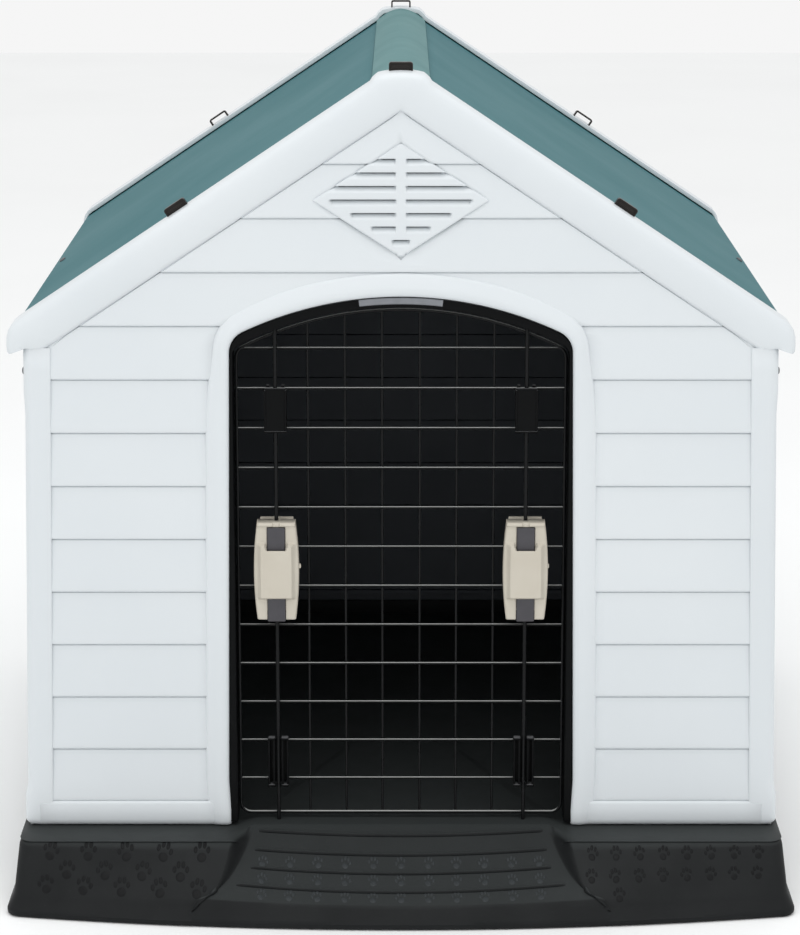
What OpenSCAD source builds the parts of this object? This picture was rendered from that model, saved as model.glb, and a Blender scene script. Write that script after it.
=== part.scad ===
// Plastic dog house with a gable roof and a wire door with two squeeze latches.
// Millimetres. +Z up, the doorway faces -Y. The origin is on the floor under the middle of the base.

/* [House] */
// Width of the walls at their foot
house_w = 908; // [800:1:1100]
// Length from the front panel's face to the back panel's face
house_l = 866; // [700:1:1050]
// Height of the point where the two roof lines would cross
peak_h = 1003; // [940:1:1100]
// Pitch of the roof, in degrees
roof_pitch = 33.85; // [30:0.05:36]
// Width lost by each wall between its foot and 1 m up, from the mould's draft
wall_draft = 19; // [0:1:25]
// Thickness of a gable panel's plate
plate_t = 8; // [7:0.5:12]
// Depth of the return flange round a gable panel
flange_d = 45; // [35:1:60]
// Thickness of the return flange
flange_t = 5; // [4:0.5:6]
// Height of one board of the siding
board_pitch = 64.3; // [50:0.1:80]
// Height of the skirting below the first board
skirting_h = 27; // [20:1:40]

/* [Roof] */
// Thickness of a roof panel
roof_t = 5; // [4:0.5:7]
// Step from the gable's edge down to the roof panel
roof_step = 9; // [8.5:0.5:12]
// How far the eaves stand out past the foot of the walls
eave_out = 7.5; // [5:0.5:20]
// Height of the turned-down eave lip
eave_lip_h = 20; // [10:1:30]
// Half width of the ridge cap
cap_half_w = 34; // [28:1:40]
// Width of a roof clip
clip_w = 28; // [20:1:36]
// Height of a roof clip above the gable's edge
clip_h = 9; // [6:0.5:12]

/* [Base] */
// How far the base stands out past the foot of the side walls
base_flare = 14; // [10:1:40]
// Height of the base, to the sill that the walls stand on
base_h = 83; // [70:1:110]
// How far the front of the base stands out past the front panel
porch_d = 130; // [120:1:160]
// How far the back of the base stands out past the back panel
tail_d = 54; // [50:1:80]
// How far the front edge bows forward in plan
bow = 50; // [20:1:60]
// How much the skirt leans in at the front and back, from floor to sill
skirt_lean = 44; // [20:1:46]
// Thickness of the tray's skin
tray_t = 4; // [3:0.5:6]
// Height of the step's front edge
step_h = 20; // [16:1:30]
// Half width of the step at the sill
step_half_w = 197; // [170:1:210]

/* [Doorway] */
// Width of the doorway in the front panel
door_w = 409; // [360:1:430]
// Height of the doorway above the sill
door_h = 647; // [560:1:660]
// Radius of the doorway's arch
arch_r = 430; // [380:1:520]
// Radius of the corner between the arch and the side
arch_corner_r = 28; // [10:1:40]
// Width of the moulding round the doorway
moulding_w = 26; // [15:1:32]
// Width of the door frame's edge, seen from the front
frame_w = 8; // [6:0.5:10]
// Depth of the door frame
frame_d = 31; // [28:1:40]

/* [Door] */
// Gap between the frame and the wire door
door_gap = 3; // [2:0.5:5]
// Size of the door's outer wire
rim_wire = 4; // [3:0.25:5]
// Diameter of the mesh wires
mesh_wire = 3; // [2:0.25:3]
// Spacing of the horizontal wires
mesh_pitch_z = 48.5; // [40:0.5:60]
// Spacing of the vertical wires
mesh_pitch_x = 43.8; // [35:0.1:48]
// Radius of a latch rod
rod_r = 2.4; // [2:0.1:3]
// Distance of the latch rods from the middle of the door
rod_x = 148; // [130:1:160]

/* [Latches] */
// Height of the latch's middle above the floor
latch_z = 397.5; // [380:0.5:420]
// Width of the latch housing at its middle
latch_w = 56; // [50:1:64]
// Travel of each latch rod
rod_travel = 14; // [13:0.5:16]
// Radial clearance of a latch rod in what guides it
rod_gap = 0.5; // [0.3:0.1:0.8]

/* [Hidden] */
$fn = 48;

white = [0.88, 0.9, 0.91];
teal = [0.36, 0.53, 0.54];
black = [0.16, 0.17, 0.17];
cream = [0.85, 0.82, 0.77];
grey = [0.29, 0.28, 0.3];
steel = [0.55, 0.56, 0.57];

// clearances
seat = 0.3;             // between pieces that rest on each other
eps = 0.01;

// places along Y
base_w = house_w + 2 * base_flare;
base_d = porch_d + house_l + tail_d;
front_y = -base_d / 2 + porch_d;
back_y = front_y + house_l;

// walls and roof lines
slope = tan(roof_pitch);
board_foot_z = base_h + skirting_h;
ear_x = house_w / 2 + eave_out;
crown_x = 27;
crown_rise = 4;
band_h = 55;            // height of the gable band, measured straight down
pillar_w = 31;
board_deep = 5.5;       // how deep the top of a board lies behind the plate's face
board_proud = 3;        // the same at its bottom edge
side_t = 6;             // thickness of a side wall
side_in = flange_t + 0.4;
cap_t = 3;
cap_top_z = peak_h - 17;
clip_x = 261;
clip_t = 2.5;
clip_y = 35;            // from the gable's face to the middle of a clip
clip_deep = 8;
wall_screw_y = 22;
screw_r = 2;
screw_head_r = 4.5;
screw_head_h = 2.5;
roof_screw_x = ear_x - 16;

// doorway
arch_z = base_h + door_h;
vent_z = peak_h - 159;
vent_half_w = 104;
vent_half_h = 67;
slot_pitch = 15.8;
slot_h = 7;
rod_hole_r = rod_r + rod_gap + 0.2;

// door, measured from the front panel's face
mesh_y = 20;
vertical_y = mesh_y + mesh_wire - 0.4;
rod_y = mesh_y - mesh_wire / 2 - rod_r - 1.8;
rim_y = mesh_y - rim_wire / 2 + 0.4;
rim_foot_z = base_h + 3.8;
first_wire_z = base_h + 49.8;
wires = floor((door_h - 100) / mesh_pitch_z) + 1;
columns = 3;            // vertical wires each side of the middle
rod_top_z = arch_z - 24.5;
rod_foot_z = base_h - 11;

// latch, measured from its own middle
latch_up = 66.5;
latch_down = 59.5;
raised_up = 31.5;
latch_face = 2;         // depth of the flat face behind the front panel's face
raised_face = -4;
latch_back = mesh_y - mesh_wire / 2 - seat;
tab_half_w = 10.7;
tab_foot = 31;
tab_h = 26;
carrier_foot = 36;
carrier_h = 18;
web_half_h = 2;
spring_r = 4;
spring_wire = 1;
spring_y = latch_back - spring_r - spring_wire / 2 - 1;
boss_x = 19;
plate_y = vertical_y + mesh_wire / 2 + seat;
back_plate_t = 3;

function rake_z(x) = peak_h - slope * abs(x);
function roof_z(x) = rake_z(x) - roof_step;
function roof_under_z(x) = roof_z(x) - roof_t / cos(roof_pitch);
function side_x(z) = house_w / 2 - wall_draft * (z - base_h) / 1000;
function crown_z(x) = rake_z(crown_x) + crown_rise - crown_rise * pow(x / crown_x, 2) + 3.5;
function reversed(list) = [for (i = [len(list) - 1:-1:0]) list[i]];
function wire_z(i) = first_wire_z + i * mesh_pitch_z;

// the gable's top edge from left to right, lowered by drop
function top_edge(drop) = concat(
    [[-ear_x, rake_z(ear_x) - drop], [-crown_x - 2, rake_z(crown_x + 2) - drop]],
    [for (i = [-6:6]) [crown_x * i / 6, crown_z(crown_x * i / 6) - drop]],
    [[crown_x + 2, rake_z(crown_x + 2) - drop], [ear_x, rake_z(ear_x) - drop]]
);
ear_z = rake_z(ear_x) - 29;
under_z = ear_z + 6;

// an outline in X and Z, given depth from y0 to y0 + depth
module upright(y0, depth) {
    translate([0, y0 + depth, 0]) rotate([90, 0, 0]) linear_extrude(depth) children();
}

// an outline in Y and Z, given width from x0 to x0 + width
module across(x0, width) {
    translate([x0, 0, 0]) rotate([90, 0, 90]) linear_extrude(width) children();
}

module both_sides() {
    children();
    mirror([1, 0, 0]) children();
}

module at_front() { translate([0, front_y, 0]) children(); }
module at_back() { translate([0, back_y, 0]) mirror([0, 1, 0]) children(); }

// ---- base ----

function front_edge(half_w, y_mid, n = 16) =
    [for (i = [0:n]) let (x = half_w * (2 * i / n - 1)) [x, y_mid + bow * pow(x / half_w, 2)]];

module tray_outline(half_w, y_front, y_back, corner) {
    offset(r = corner) offset(delta = -corner)
        polygon(concat(front_edge(half_w, y_front), [[half_w, y_back], [-half_w, y_back]]));
}

// the tray's outside, or its inside when it is thinner by skin
module tray_body(skin, top) {
    side_lean = base_flare - 2;
    hull() {
        translate([0, 0, -eps * skin]) linear_extrude(step_h + eps * skin)
            tray_outline(base_w / 2 - skin, -base_d / 2 + skin, base_d / 2 - skin, 20);
        translate([0, 0, top - 1]) linear_extrude(1)
            tray_outline(base_w / 2 - side_lean - skin, -base_d / 2 + skirt_lean + skin,
                base_d / 2 - skirt_lean - skin, 20);
    }
}

step_top_y = front_y - 40;
step_foot_y = -base_d / 2 + 13;
step_flare = 47;

// the space that the scooped step takes out of the tray, grown by skin on every side
module step_space(skin) {
    half_top = step_half_w + skin;
    half_foot = step_half_w + step_flare + skin;
    out_y = -base_d / 2 - 50;
    intersection() {
        linear_extrude(base_h + 50) polygon([
            [-half_top, step_top_y + skin], [-half_foot, step_foot_y + 17], [-half_foot - 12, out_y],
            [half_foot + 12, out_y], [half_foot, step_foot_y + 17], [half_top, step_top_y + skin]
        ]);
        across(-base_w / 2, base_w) polygon([
            [step_top_y + skin, base_h + 50], [step_top_y + skin, base_h - skin],
            [step_foot_y + skin, step_h - skin], [out_y, step_h - skin], [out_y, base_h + 50]
        ]);
    }
}

step_ribs = 4;
module step_rib(i) {
    t = 0.06 + 0.25 * i;
    y = step_top_y + (step_foot_y - step_top_y) * t;
    z = base_h + (step_h - base_h) * t;
    half = 175 + 6 * i;
    across(-half, 2 * half) polygon([[y + 4, z - 2], [y + 1, z + 2.5], [y - 3, z + 2], [y - 4, z - 5]]);
}

stiffener_pitch = 98;
stiffener_t = 2;
module stiffeners() {
    rows = ceil(base_d / 2 / stiffener_pitch);
    for (i = [-rows:rows]) {
        translate([i * stiffener_pitch - stiffener_t / 2, -base_d / 2, 0])
            cube([stiffener_t, base_d, base_h - tray_t / 2]);
        translate([-base_w / 2, i * stiffener_pitch - stiffener_t / 2, 0])
            cube([base_w, stiffener_t, base_h - tray_t / 2]);
    }
}

curb_h = 15;
curb_t = 6;
module curb() {
    half = side_x(base_h + curb_h) - side_in - side_t - 1.5 - 2;
    y0 = front_y + plate_t + 1;
    y1 = back_y - plate_t - 1;
    gate = door_w / 2 + frame_w + 6;
    translate([0, 0, base_h - 1]) linear_extrude(curb_h + 1) difference() {
        translate([-half, y0]) square([2 * half, y1 - y0]);
        translate([-half + curb_t, y0 + curb_t]) square([2 * (half - curb_t), y1 - y0 - 2 * curb_t]);
        translate([-gate, y0 - 1]) square([2 * gate, curb_t + 2]);
    }
}

module base() {
    color(black) difference() {
        union() {
            difference() {
                tray_body(0, base_h);
                step_space(0);
                difference() {
                    tray_body(tray_t, base_h - tray_t);
                    step_space(tray_t);
                    stiffeners();
                }
            }
            for (i = [0:step_ribs - 1]) step_rib(i);
            curb();
        }
        both_sides() translate([rod_x, front_y + rod_y, rod_foot_z - 12])
            cylinder(r = rod_hole_r, h = base_h - rod_foot_z + 20);
    }
}

// ---- gable panels ----

module gable_outline() {
    polygon(concat(top_edge(0), [
        [ear_x - 1.5, ear_z], [side_x(under_z) + 4, under_z], [side_x(under_z - 60), under_z - 60],
        [side_x(base_h), base_h], [-side_x(base_h), base_h], [-side_x(under_z - 60), under_z - 60],
        [-side_x(under_z) - 4, under_z], [-ear_x + 1.5, ear_z]
    ]));
}

// the area that the siding covers, grown by grow
module field_outline(grow = 0) {
    top = rake_z(0) - band_h;
    foot_x = side_x(board_foot_z) - pillar_w;
    head_x = foot_x - 10;
    offset(delta = grow) polygon([
        [-foot_x, board_foot_z], [foot_x, board_foot_z], [head_x, top - slope * head_x],
        [0, top], [-head_x, top - slope * head_x]
    ]);
}

// the doorway's outline, grown by grow
module doorway(grow = 0) {
    r = arch_corner_r + grow;
    offset(r = r) offset(delta = -r) intersection() {
        translate([-door_w / 2 - grow, base_h - 60]) square([door_w + 2 * grow, door_h + 200]);
        translate([0, arch_z - arch_r]) circle(r = arch_r + grow, $fn = 144);
    }
}

// siding: each board leans out towards its bottom edge
module boards() {
    n = ceil((peak_h - board_foot_z) / board_pitch);
    across(-house_w / 2, house_w) polygon(concat(
        [[plate_t, board_foot_z - 4], [board_proud, board_foot_z - 4]],
        [for (i = [0:n - 1]) for (end = [0, 1])
            [end == 0 ? board_proud : board_deep, board_foot_z + (i + end) * board_pitch - end * 1.5]],
        [[plate_t, board_foot_z + n * board_pitch]]
    ));
}

module diamond(half_w, half_h) {
    translate([0, vent_z]) polygon([[-half_w, 0], [0, half_h], [half_w, 0], [0, -half_h]]);
}

// louvres: each slot climbs towards the inside, and a mullion divides all but the lowest
module louvres() {
    inner_z = vent_z + 6;
    for (i = [-3:3]) {
        z = vent_z + 0.3 + i * slot_pitch;
        half = 92 * (1 - abs(z - inner_z) / 61);
        gap = i == -3 ? 0 : 6.5;
        for (side = [-1, 1])
            across(side < 0 ? -half : gap - eps, half - gap + eps) polygon([
                [-1, z - slot_h / 2 - 1.2], [-1, z + slot_h / 2 - 1.2],
                [plate_t + 1, z + slot_h / 2 + 12], [plate_t + 1, z - slot_h / 2 + 12]
            ]);
    }
}

// where the roof clips sit: [x, lean]
clip_places = [[-clip_x, -roof_pitch], [0, 0], [clip_x, roof_pitch]];
module at_clip(place) {
    x = place[0];
    translate([x, clip_y, x == 0 ? crown_z(0) : rake_z(x)]) rotate([0, place[1], 0]) children();
}

module clip_slots() {
    for (place = clip_places) at_clip(place)
        for (side = [-1, 1])
            translate([side * (clip_w - clip_t) / 2 - clip_t / 2 - seat, -clip_deep / 2 - seat, -40])
                cube([clip_t + 2 * seat, clip_deep + 2 * seat, 60]);
}

module gable_panel(has_door) {
    difference() {
        union() {
            upright(0, plate_t) difference() {
                gable_outline();
                field_outline();
            }
            intersection() {
                boards();
                upright(0, plate_t) field_outline(3);
            }
            upright(1, plate_t - 1) diamond(vent_half_w, vent_half_h);
            upright(0, flange_d) polygon(concat(top_edge(0), reversed(top_edge(flange_t))));
            both_sides() upright(0, flange_d) polygon([
                [side_x(base_h), base_h], [side_x(under_z), under_z],
                [side_x(under_z) - flange_t, under_z], [side_x(base_h) - flange_t, base_h]
            ]);
            if (has_door) upright(0, plate_t) intersection() {
                doorway(moulding_w);
                translate([-house_w / 2, base_h]) square([house_w, peak_h]);
            }
        }
        if (has_door) upright(-1, plate_t + 2) doorway();
        louvres();
        clip_slots();
        wall_screw_places() rotate([0, -90, 0]) cylinder(r = screw_r + 0.2, h = 30);
    }
}

module wall_screw_places() {
    z = under_z - 32;
    both_sides() translate([side_x(z) + 0.2, wall_screw_y, z]) children();
}

module front_wall() { color(white) at_front() gable_panel(true); }
module back_wall() { color(white) at_back() gable_panel(false); }

// ---- side walls ----

module side_section() {
    foot = base_h;
    top_z = roof_under_z(side_x(under_z) - side_in) - seat;
    n = floor((top_z - board_foot_z) / board_pitch);
    x_in = function (z) side_x(z) - side_in - side_t;
    polygon(concat(
        [[x_in(foot), foot], [side_x(foot) - side_in, foot]],
        [for (i = [0:n]) for (end = [0, 1])
            let (z = min(board_foot_z + (i + end) * board_pitch - end * 1.5, top_z))
                [side_x(z) - side_in - end * (board_deep - board_proud), z]],
        [[x_in(top_z), top_z]]
    ));
}

boss_w = 24;
module side_wall() {
    mid_y = (front_y + back_y) / 2;
    x_out = side_x(under_z) - side_in - 4;
    top_z = roof_under_z(side_x(under_z) - side_in) - seat;
    difference() {
        union() {
            upright(front_y + plate_t + seat, house_l - 2 * (plate_t + seat)) side_section();
            translate([x_out - boss_w, mid_y - boss_w / 2, top_z - 30]) cube([boss_w, boss_w, 30]);
        }
        roof_screw_place() rotate([0, 180, 0]) cylinder(r = screw_r + 0.2, h = 40);
        for (y = [front_y + wall_screw_y, back_y - wall_screw_y])
            translate([side_x(under_z - 32) + 5, y, under_z - 32]) rotate([0, -90, 0])
                cylinder(r = screw_r + 0.2, h = 40);
    }
}

module right_wall() { color(white) side_wall(); }
module left_wall() { color(white) mirror([1, 0, 0]) side_wall(); }

// ---- roof ----

roof_inner_x = cap_half_w - 4;
module roof_section() {
    lip_x = ear_x - 5;
    polygon([
        [roof_inner_x, roof_z(roof_inner_x)], [ear_x - seat, roof_z(ear_x)],
        [ear_x - seat, roof_z(ear_x) - eave_lip_h], [lip_x, roof_z(ear_x) - eave_lip_h],
        [lip_x, roof_under_z(lip_x)], [roof_inner_x, roof_under_z(roof_inner_x)]
    ]);
}

// the roof screw's head sits here, square to the slope
module roof_screw_place() {
    translate([roof_screw_x, (front_y + back_y) / 2, roof_z(roof_screw_x)])
        rotate([0, roof_pitch, 0]) translate([0, 0, 0.1]) children();
}

module roof_panel() {
    difference() {
        upright(front_y + plate_t + seat, house_l - 2 * (plate_t + seat)) roof_section();
        at_front() clip_slots();
        at_back() clip_slots();
        roof_screw_place() translate([0, 0, 5]) rotate([0, 180, 0]) cylinder(r = screw_r + 0.2, h = 40);
    }
}

module roof_right() { color(teal) roof_panel(); }
module roof_left() { color(teal) mirror([1, 0, 0]) roof_panel(); }

module cap_section() {
    edge_z = roof_z(cap_half_w) + cap_t;
    sag = cap_top_z - edge_z;
    r = (cap_half_w * cap_half_w + sag * sag) / (2 * sag);
    difference() {
        intersection() {
            translate([0, cap_top_z - r]) circle(r = r, $fn = 96);
            translate([-cap_half_w, edge_z - 30]) square([2 * cap_half_w, 60]);
        }
        translate([0, cap_top_z - r]) circle(r = r - cap_t, $fn = 96);
        translate([-cap_half_w - 1, 0]) square([2 * cap_half_w + 2, roof_z(cap_half_w) + seat - 0.5]);
        for (side = [-1, 1]) polygon([
            [side * (roof_inner_x - seat), 0], [side * (roof_inner_x - seat), roof_z(roof_inner_x) + 2 * seat],
            [side * (cap_half_w + 5), roof_z(cap_half_w + 5) + 2 * seat], [side * (cap_half_w + 5), 0]
        ]);
    }
}

module ridge_cap() {
    color(teal) difference() {
        upright(front_y + plate_t + seat, house_l - 2 * (plate_t + seat)) cap_section();
        at_front() clip_slots();
        at_back() clip_slots();
    }
}

// a staple of flat strap; its legs pass through the gable's flange and the roof
module roof_clip() {
    leg = flange_t + roof_step + roof_t + 2;
    translate([0, -clip_deep / 2, 0]) difference() {
        translate([-clip_w / 2, 0, -leg]) cube([clip_w, clip_deep, clip_h + leg]);
        translate([-clip_w / 2 + clip_t, -1, -leg - 1])
            cube([clip_w - 2 * clip_t, clip_deep + 2, clip_h + leg + 1 - clip_t]);
    }
}

module roof_clips() {
    color(black) {
        at_front() for (place = clip_places) at_clip(place) roof_clip();
        at_back() for (place = clip_places) at_clip(place) roof_clip();
    }
}

// a pan-head screw that points down, with its seat at z = 0
module screw(length) {
    rotate_extrude() polygon(concat(
        [[0, -length], [screw_r * 0.4, -length], [screw_r, -length + 2], [screw_r, 0], [screw_head_r, 0]],
        [for (a = [0:15:75]) [screw_head_r * cos(a), 0.6 + (screw_head_h - 0.6) * sin(a)]],
        [[0, screw_head_h]]
    ));
}

module wall_screws() {
    color(steel) {
        at_front() wall_screw_places() rotate([0, 90, 0]) screw(14);
        at_back() wall_screw_places() rotate([0, 90, 0]) screw(14);
    }
}

module roof_screws() { color(steel) both_sides() roof_screw_place() screw(22); }

// ---- door frame ----

module frame_ring(outer, inner) {
    difference() {
        doorway(-outer);
        doorway(-inner);
    }
}

module above_sill() {
    intersection() {
        children();
        translate([-house_w, base_h + seat]) square([2 * house_w, peak_h]);
    }
}

frame_front = 3;
module door_frame() {
    color(black) at_front() difference() {
        union() {
            upright(frame_front, frame_d) above_sill() frame_ring(0.4, frame_w);
            upright(plate_t + seat, 4) above_sill() frame_ring(-12, frame_w);
        }
        both_sides() translate([rod_x, rod_y, rod_top_z - 30]) cylinder(r = rod_hole_r, h = 60);
    }
}

module frame_tab() {
    color(grey) at_front() upright(0.4, frame_front - 0.4) intersection() {
        frame_ring(0.4, frame_w);
        translate([-50, arch_z - 60]) square([100, 80]);
    }
}

// ---- wire door ----

rim_out = frame_w + door_gap;

module wire(d, length) { cylinder(d = d / cos(22.5), h = length, $fn = 8); }

// the part of the door inside its rim, as a solid to trim the mesh wires with
module rim_area() {
    doorway(-rim_out - rim_wire / 2);
}

module door_outline(inset) {
    r = 12 - min(inset, 8);
    offset(r = r) offset(delta = -r) intersection() {
        doorway(-rim_out - inset);
        translate([-door_w / 2, rim_foot_z + inset]) square([door_w, door_h]);
    }
}

module door_mesh() {
    color(black) at_front() {
        upright(rim_y, rim_wire) difference() {
            door_outline(0);
            door_outline(rim_wire);
        }
        half = door_w / 2 - rim_out - rim_wire / 2;
        for (i = [0:wires - 1]) let (w = min(half, arch_half(wire_z(i))))
            translate([-w, mesh_y, wire_z(i)]) rotate([0, 90, 0]) rotate(22.5) wire(mesh_wire, 2 * w);
        for (i = [1:columns]) for (side = [-1, 1]) let (x = side * (i - 0.5) * mesh_pitch_x)
            translate([x, vertical_y, rim_foot_z + rim_wire / 2]) rotate(22.5)
                wire(mesh_wire, arch_height(x) - rim_foot_z - rim_wire / 2);
    }
}

// half width of the door under its arch at height z, and the arch's height at x
function arch_half(z) = let (r = arch_r - rim_out - rim_wire / 2, h = z - arch_z + arch_r) sqrt(max(0, r * r - h * h));
function arch_height(x) = let (r = arch_r - rim_out - rim_wire / 2) arch_z - arch_r + sqrt(r * r - x * x);

// ---- latches, drawn about their own rod and middle ----

module at_latch(side) { translate([side * rod_x, front_y, latch_z]) children(); }

function barrel_half(z) = latch_w / 2 - 4 * pow(z / latch_up, 2);
module barrel(inset, up = latch_up, down = latch_down) {
    steps = 10;
    right = [for (i = [0:steps]) let (z = -down + (up + down) * i / steps) [barrel_half(z) - inset, z]];
    polygon(concat(right, [for (p = reversed(right)) [-p[0], p[1]]]));
}

module latch_cover() {
    color(cream) difference() {
        union() {
            upright(latch_face, latch_back - latch_face) barrel(0);
            upright(raised_face, latch_face - raised_face + 1) barrel(3, raised_up, raised_up);
            upright(raised_face + 3, latch_face - raised_face - 2) barrel(1, raised_up + 1, raised_up + 1);
        }
        // the two slides' channel, with the web between their springs
        for (end = [-1, 1]) {
            reach = end > 0 ? latch_up - 9 : latch_down + 1;
            translate([-tab_half_w - seat, raised_face + 2.5, end > 0 ? web_half_h : -reach])
                cube([2 * (tab_half_w + seat), latch_back + 10, reach - web_half_h]);
        }
        translate([0, rod_y, web_half_h + 20]) cylinder(r = rod_r + rod_gap, h = latch_up);
        translate([-rod_r - rod_gap, rod_y, web_half_h + 20]) cube([2 * (rod_r + rod_gap), 20, latch_up]);
        for (side = [-1, 1]) translate([side * boss_x, latch_back - 8, 0]) rotate([-90, 0, 0])
            cylinder(r = 1.3, h = 20);
    }
}

module latch_back_plate() {
    color(cream) difference() {
        union() {
            upright(plate_y, back_plate_t) barrel(5, latch_up - 5, latch_down - 5);
            for (side = [-1, 1]) translate([side * boss_x, latch_back + seat, 0]) rotate([-90, 0, 0])
                cylinder(r = 4, h = plate_y - latch_back);
        }
        for (side = [-1, 1]) translate([side * boss_x, 0, 0]) rotate([-90, 0, 0]) cylinder(r = 1.7, h = 60);
    }
}

module latch_screw() {
    rotate([-90, 0, 0]) rotate_extrude() polygon([
        [0, -12], [1.2, -12], [1.2, 0], [3, 0], [3, 0.8], [2.2, 1.7], [0, 2]
    ]);
}

module latch_screws() {
    color(steel) for (side = [-1, 1]) at_latch(side)
        for (hole = [-1, 1]) translate([hole * boss_x, plate_y + back_plate_t + 0.1, 0]) latch_screw();
}

// the upper tab: a ribbed finger pad on a block that carries the rod
module slide_tab() {
    color(grey) difference() {
        union() {
            translate([-tab_half_w, raised_face + 3.2, tab_foot]) cube([2 * tab_half_w, 5, tab_h]);
            for (i = [0:3]) translate([-tab_half_w + 2, raised_face + 2.8, tab_foot + 4 + 5 * i])
                cube([2 * tab_half_w - 4, 1, 2]);
            translate([-8, raised_face + 8, carrier_foot])
                cube([16, latch_back - raised_face - 8 - seat, carrier_h]);
        }
        translate([0, rod_y, carrier_foot + 4]) cylinder(r = rod_r + 0.1, h = tab_h + 10);
    }
}

module upper_rod() {
    color(black) translate([0, rod_y, carrier_foot + 4.2]) rotate_extrude() polygon([
        [0, 0], [rod_r, 0], [rod_r, rod_top_z - latch_z - carrier_foot - 6.2],
        [rod_r - 1.2, rod_top_z - latch_z - carrier_foot - 4.2], [0, rod_top_z - latch_z - carrier_foot - 4.2]
    ]);
}

module lower_rod() {
    length = latch_z - carrier_foot - 4.2 - rod_foot_z;
    color(black) translate([0, rod_y, -carrier_foot - 4.2]) mirror([0, 0, 1]) rotate_extrude() polygon([
        [0, 0], [rod_r, 0], [rod_r, length - 2], [rod_r - 1.2, length], [0, length]
    ]);
}

// a coil spring from the web to the slide
spring_turns = 7;
module coil_spring() {
    steps = 12;
    sides = 5;
    z0 = web_half_h + spring_wire / 2 + 0.1;
    rise = carrier_foot - web_half_h - spring_wire - 0.2;
    n = spring_turns * steps;
    points = [for (i = [0:n]) let (a = 360 * i / steps) for (j = [0:sides - 1])
        let (b = 360 * j / sides, r = spring_r + spring_wire / 2 * cos(b))
            [r * cos(a), r * sin(a), z0 + rise * i / n + spring_wire / 2 * sin(b)]];
    faces = concat(
        [[for (j = [0:sides - 1]) j]],
        [for (i = [0:n - 1]) for (j = [0:sides - 1]) for (half = [0, 1])
            let (k = (j + 1) % sides, a = i * sides + j, b = (i + 1) * sides + k)
                half == 0 ? [a, (i + 1) * sides + j, b] : [a, b, i * sides + k]],
        [[for (j = [sides - 1:-1:0]) n * sides + j]]
    );
    color(steel) translate([0, spring_y, 0]) polyhedron(points, faces, convexity = 10);
}

// a hook that closes round one horizontal wire
module wire_hook(x, z) {
    translate([x - 2, latch_back, z - 4]) difference() {
        cube([4, mesh_wire + 2 * seat + 2, 8]);
        translate([-1, 0, 4 - mesh_wire / 2 - seat]) cube([6, mesh_wire + 2 * seat, mesh_wire + 2 * seat]);
    }
}

guide_y = rod_y - rod_r - 3;
module guide_block(half_w, z0, z1) {
    difference() {
        translate([-half_w, guide_y, z0]) cube([2 * half_w, latch_back - guide_y, z1 - z0]);
        translate([-rod_r - rod_gap, rod_y, z0 - 1]) cube([2 * (rod_r + rod_gap), 20, z1 - z0 + 2]);
        translate([0, rod_y, z0 - 1]) cylinder(r = rod_r + rod_gap, h = z1 - z0 + 2);
    }
}

upper_hold = wires - 3;     // the wires that the guides hook onto
lower_hold = 0;
module upper_guide() {
    z0 = wire_z(upper_hold) - latch_z;
    z1 = wire_z(upper_hold + 1) - latch_z;
    color(black) {
        guide_block(13.5, z0 - 2, z1 + 2);
        for (x = [-9, 9]) for (z = [z0, z1]) wire_hook(x, z);
    }
}

module lower_guide() {
    z0 = wire_z(lower_hold) - latch_z;
    z1 = wire_z(lower_hold + 1) - latch_z;
    color(black) {
        guide_block(7, z0 - 6, z1 + 6);
        for (x = [-12, 9]) translate([x, guide_y + 1, z0 - 6]) cube([3, latch_back - guide_y - 1, z1 - z0 + 12]);
        for (z = [z0 - 8.5, z1 + 6]) difference() {
            translate([-12.5, guide_y - 1, z]) cube([25, latch_back - guide_y + 1, 2.5]);
            translate([0, rod_y, z - 1]) cylinder(r = rod_r + rod_gap, h = 5);
            translate([-rod_r - rod_gap, rod_y, z - 1]) cube([2 * (rod_r + rod_gap), 20, 5]);
        }
        for (x = [-10, 10]) for (z = [z0, z1]) wire_hook(x, z);
    }
}

module flipped() { mirror([0, 0, 1]) children(); }

base();
front_wall();
back_wall();
left_wall();
right_wall();
roof_left();
roof_right();
ridge_cap();
roof_clips();
wall_screws();
roof_screws();
door_frame();
frame_tab();
door_mesh();
at_latch(-1) latch_cover();  // latch_cover_left
at_latch(-1) latch_back_plate();  // latch_back_left
at_latch(-1) slide_tab();  // upper_tab_left
at_latch(-1) flipped() slide_tab();  // lower_tab_left
at_latch(-1) upper_rod();  // upper_rod_left
at_latch(-1) lower_rod();  // lower_rod_left
at_latch(-1) coil_spring();  // upper_spring_left
at_latch(-1) flipped() coil_spring();  // lower_spring_left
at_latch(-1) upper_guide();  // upper_guide_left
at_latch(-1) lower_guide();  // lower_guide_left
at_latch(1) latch_cover();  // latch_cover_right
at_latch(1) latch_back_plate();  // latch_back_right
at_latch(1) slide_tab();  // upper_tab_right
at_latch(1) flipped() slide_tab();  // lower_tab_right
at_latch(1) upper_rod();  // upper_rod_right
at_latch(1) lower_rod();  // lower_rod_right
at_latch(1) coil_spring();  // upper_spring_right
at_latch(1) flipped() coil_spring();  // lower_spring_right
at_latch(1) upper_guide();  // upper_guide_right
at_latch(1) lower_guide();  // lower_guide_right
latch_screws();
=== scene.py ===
import math

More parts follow.
